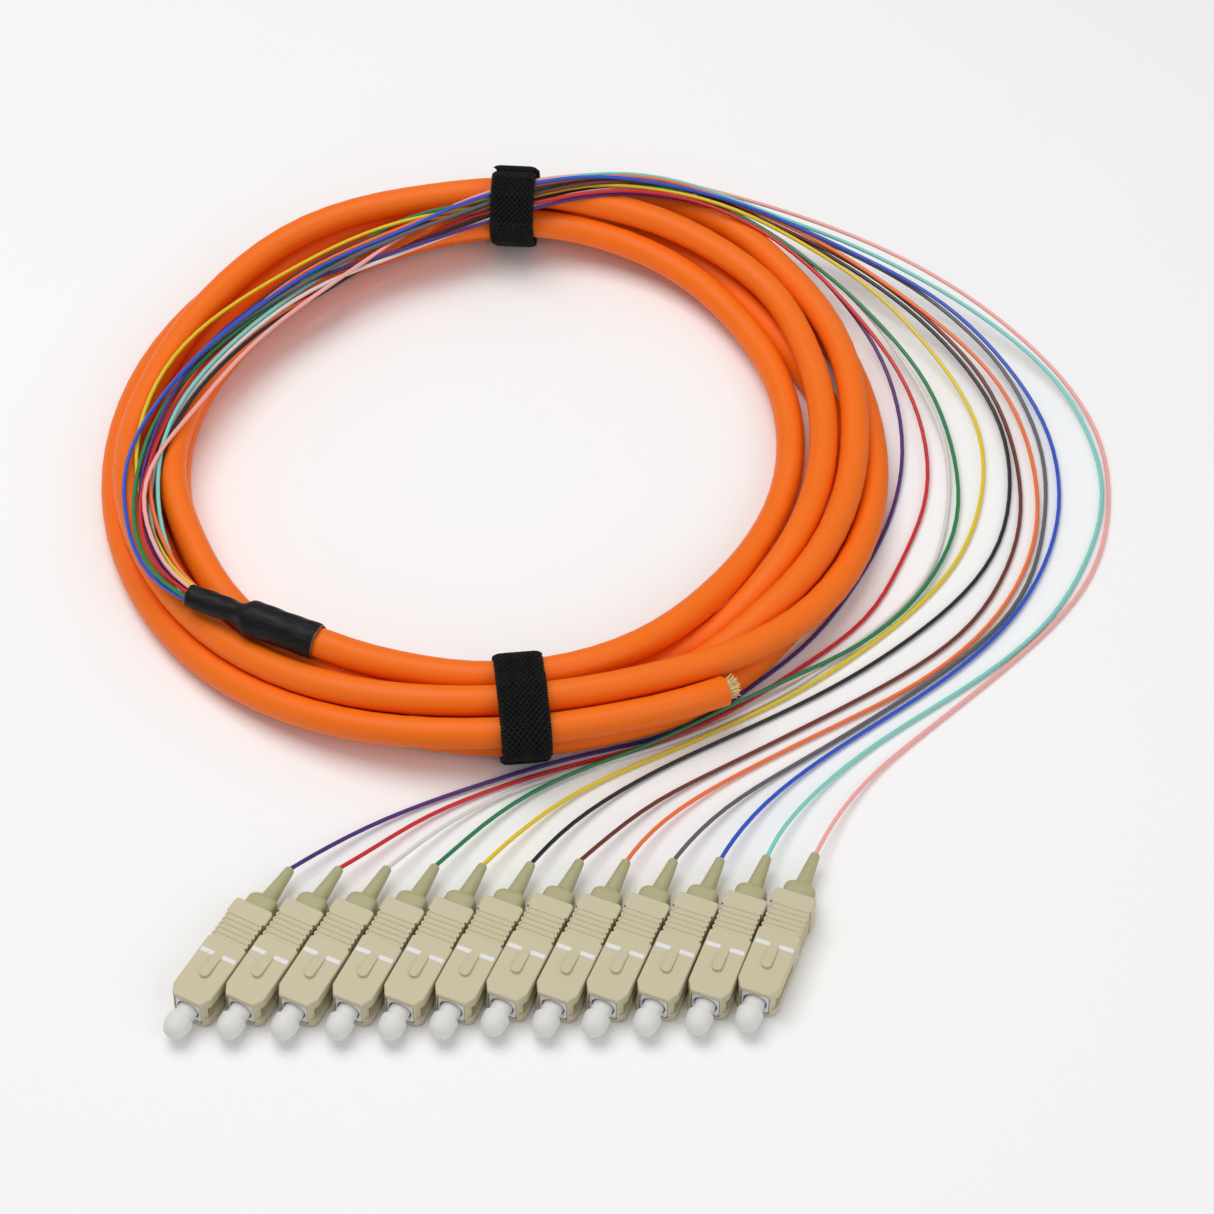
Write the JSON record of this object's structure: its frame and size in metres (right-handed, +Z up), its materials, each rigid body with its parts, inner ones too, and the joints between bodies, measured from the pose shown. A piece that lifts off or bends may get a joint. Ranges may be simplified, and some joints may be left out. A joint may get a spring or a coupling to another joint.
{
  "type": "bundled fibre pigtail",
  "caption": "Breakout fibre pigtail: a coiled trunk cable held by straps, fanning out through a sleeve into coloured fibres that end in capped square connectors.",
  "frame": {"origin": "on the floor, under the middle of the whole bundle's bounding box", "axes": "+Z up; the connectors' noses point mostly to -Y, and their row runs along +X from the violet fibre to the pink one"},
  "size_m": [0.2216, 0.2398, 0.0226],
  "materials": {
    "cable": "smooth satin cable jacket",
    "sleeve": "shrunk tubing, satin",
    "yarn": "cut aramid yarn",
    "strap": "woven hook-and-loop tape",
    "grip": "fine satin moulding",
    "plug": "satin moulding",
    "cap": "milky translucent, soft gloss",
    "violet": "smooth violet fibre jacket",
    "red": "smooth red fibre jacket",
    "white": "smooth white fibre jacket",
    "green": "smooth green fibre jacket",
    "yellow": "smooth yellow fibre jacket",
    "black": "smooth black fibre jacket",
    "brown": "smooth brown fibre jacket",
    "orange": "smooth orange fibre jacket",
    "grey": "smooth grey fibre jacket",
    "blue": "smooth blue fibre jacket",
    "aqua": "smooth aqua fibre jacket",
    "pink": "smooth pink fibre jacket"
  },
  "bodies": {
    "bundle": {"trunk_cable": "cable", "breakout_sleeve": "sleeve", "aramid_yarn": "yarn", "strap_top": "strap", "strap_bottom": "strap", "fibre_violet": "violet", "fibre_red": "red", "fibre_white": "white", "fibre_green": "green", "fibre_yellow": "yellow", "fibre_black": "black", "fibre_brown": "brown", "fibre_orange": "orange", "fibre_grey": "grey", "fibre_blue": "blue", "fibre_aqua": "aqua", "fibre_pink": "pink", "plug_violet": "plug", "plug_red": "plug", "plug_white": "plug", "plug_green": "plug", "plug_yellow": "plug", "plug_black": "plug", "plug_brown": "plug", "plug_orange": "plug", "plug_grey": "plug", "plug_blue": "plug", "plug_aqua": "plug", "plug_pink": "plug"},
    "grip_violet": {"grip_violet": "grip"},
    "cap_violet": {"cap_violet": "cap"},
    "grip_red": {"grip_red": "grip"},
    "cap_red": {"cap_red": "cap"},
    "grip_white": {"grip_white": "grip"},
    "cap_white": {"cap_white": "cap"},
    "grip_green": {"grip_green": "grip"},
    "cap_green": {"cap_green": "cap"},
    "grip_yellow": {"grip_yellow": "grip"},
    "cap_yellow": {"cap_yellow": "cap"},
    "grip_black": {"grip_black": "grip"},
    "cap_black": {"cap_black": "cap"},
    "grip_brown": {"grip_brown": "grip"},
    "cap_brown": {"cap_brown": "cap"},
    "grip_orange": {"grip_orange": "grip"},
    "cap_orange": {"cap_orange": "cap"},
    "grip_grey": {"grip_grey": "grip"},
    "cap_grey": {"cap_grey": "cap"},
    "grip_blue": {"grip_blue": "grip"},
    "cap_blue": {"cap_blue": "cap"},
    "grip_aqua": {"grip_aqua": "grip"},
    "cap_aqua": {"cap_aqua": "cap"},
    "grip_pink": {"grip_pink": "grip"},
    "cap_pink": {"cap_pink": "cap"}
  },
  "joints": [
    {"name": "grip_slide_violet", "type": "slide", "parent": "bundle", "child": "grip_violet", "axis": [0.4562, 0.8899, 0], "range_m": [0, 0.002]},
    {"name": "cap_pull_violet", "type": "slide", "parent": "bundle", "child": "cap_violet", "axis": [-0.4562, -0.8899, 0], "range_m": [0, 0.008]},
    {"name": "grip_slide_red", "type": "slide", "parent": "bundle", "child": "grip_red", "axis": [0.4459, 0.8951, 0], "range_m": [0, 0.002]},
    {"name": "cap_pull_red", "type": "slide", "parent": "bundle", "child": "cap_red", "axis": [-0.4459, -0.8951, 0], "range_m": [0, 0.008]},
    {"name": "grip_slide_white", "type": "slide", "parent": "bundle", "child": "grip_white", "axis": [0.4281, 0.9037, 0], "range_m": [0, 0.002]},
    {"name": "cap_pull_white", "type": "slide", "parent": "bundle", "child": "cap_white", "axis": [-0.4281, -0.9037, 0], "range_m": [0, 0.008]},
    {"name": "grip_slide_green", "type": "slide", "parent": "bundle", "child": "grip_green", "axis": [0.4054, 0.9141, 0], "range_m": [0, 0.002]},
    {"name": "cap_pull_green", "type": "slide", "parent": "bundle", "child": "cap_green", "axis": [-0.4054, -0.9141, 0], "range_m": [0, 0.008]},
    {"name": "grip_slide_yellow", "type": "slide", "parent": "bundle", "child": "grip_yellow", "axis": [0.3924, 0.9198, 0], "range_m": [0, 0.002]},
    {"name": "cap_pull_yellow", "type": "slide", "parent": "bundle", "child": "cap_yellow", "axis": [-0.3924, -0.9198, 0], "range_m": [0, 0.008]},
    {"name": "grip_slide_black", "type": "slide", "parent": "bundle", "child": "grip_black", "axis": [0.3868, 0.9222, 0], "range_m": [0, 0.002]},
    {"name": "cap_pull_black", "type": "slide", "parent": "bundle", "child": "cap_black", "axis": [-0.3868, -0.9222, 0], "range_m": [0, 0.008]},
    {"name": "grip_slide_brown", "type": "slide", "parent": "bundle", "child": "grip_brown", "axis": [0.3847, 0.923, 0], "range_m": [0, 0.002]},
    {"name": "cap_pull_brown", "type": "slide", "parent": "bundle", "child": "cap_brown", "axis": [-0.3847, -0.923, 0], "range_m": [0, 0.008]},
    {"name": "grip_slide_orange", "type": "slide", "parent": "bundle", "child": "grip_orange", "axis": [0.3723, 0.9281, 0], "range_m": [0, 0.002]},
    {"name": "cap_pull_orange", "type": "slide", "parent": "bundle", "child": "cap_orange", "axis": [-0.3723, -0.9281, 0], "range_m": [0, 0.008]},
    {"name": "grip_slide_grey", "type": "slide", "parent": "bundle", "child": "grip_grey", "axis": [0.3681, 0.9298, 0], "range_m": [0, 0.002]},
    {"name": "cap_pull_grey", "type": "slide", "parent": "bundle", "child": "cap_grey", "axis": [-0.3681, -0.9298, 0], "range_m": [0, 0.008]},
    {"name": "grip_slide_blue", "type": "slide", "parent": "bundle", "child": "grip_blue", "axis": [0.3573, 0.934, 0], "range_m": [0, 0.002]},
    {"name": "cap_pull_blue", "type": "slide", "parent": "bundle", "child": "cap_blue", "axis": [-0.3573, -0.934, 0], "range_m": [0, 0.008]},
    {"name": "grip_slide_aqua", "type": "slide", "parent": "bundle", "child": "grip_aqua", "axis": [0.3396, 0.9406, 0], "range_m": [0, 0.002]},
    {"name": "cap_pull_aqua", "type": "slide", "parent": "bundle", "child": "cap_aqua", "axis": [-0.3396, -0.9406, 0], "range_m": [0, 0.008]},
    {"name": "grip_slide_pink", "type": "slide", "parent": "bundle", "child": "grip_pink", "axis": [0.3431, 0.9393, 0], "range_m": [0, 0.002]},
    {"name": "cap_pull_pink", "type": "slide", "parent": "bundle", "child": "cap_pink", "axis": [-0.3431, -0.9393, 0], "range_m": [0, 0.008]}
  ]
}
